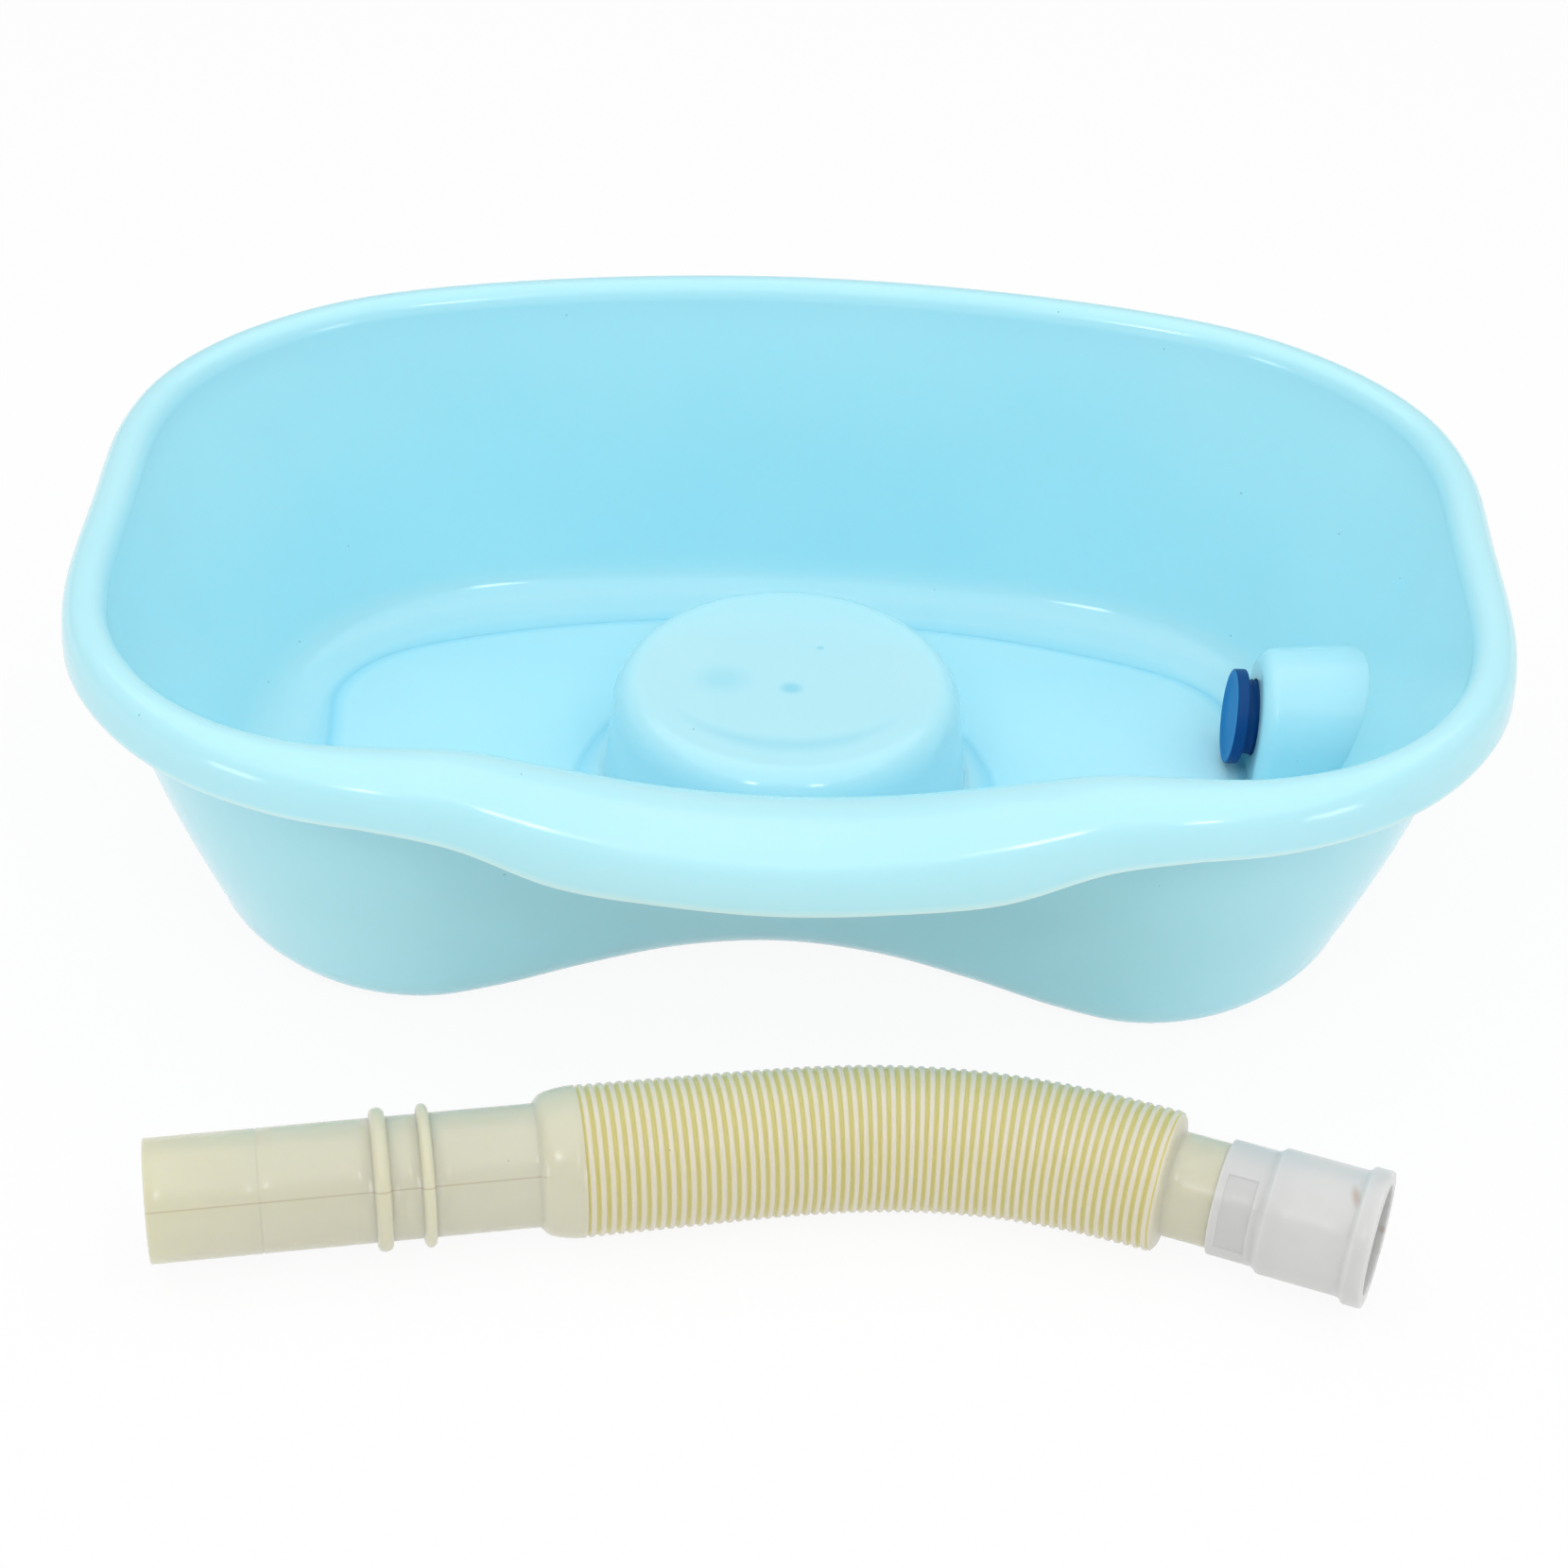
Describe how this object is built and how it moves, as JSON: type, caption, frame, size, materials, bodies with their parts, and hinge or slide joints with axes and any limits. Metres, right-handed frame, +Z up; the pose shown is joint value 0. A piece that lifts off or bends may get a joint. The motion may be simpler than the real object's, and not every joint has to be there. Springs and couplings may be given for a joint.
{
  "type": "portable shampoo basin",
  "caption": "Kidney-shaped plastic hair-washing basin with a neck recess, a round headrest, a plugged end drain and a ribbed drain hose with its push-on adapter.",
  "frame": {"origin": "on the surface that the basin stands on, under the middle of the rim's outline", "axes": "+X along the basin towards the drain outlet, -Y towards the neck recess, +Z up"},
  "size_m": [0.5, 0.4474, 0.13],
  "materials": {
    "basin": "aqua, satin gloss",
    "plug": "blue, smooth",
    "hose": "cream, slightly translucent",
    "adapter": "milky white"
  },
  "bodies": {
    "basin": {"basin_shell": "basin"},
    "plug": {"drain_plug": "plug"},
    "hose": {"drain_hose": "hose"},
    "adapter": {"hose_adapter": "adapter"}
  },
  "joints": [
    {"name": "plug_slide", "type": "slide", "parent": "basin", "child": "plug", "axis": [-1, 0, 0], "range_m": [-0.0035, 0.035]},
    {"name": "hose_lift", "type": "slide", "parent": "basin", "child": "hose", "axis": [0, 0, 1], "range_m": [0, 0.15]},
    {"name": "adapter_slide", "type": "slide", "parent": "hose", "child": "adapter", "axis": [0.9422, -0.3351, 0], "range_m": [0, 0.03]}
  ]
}
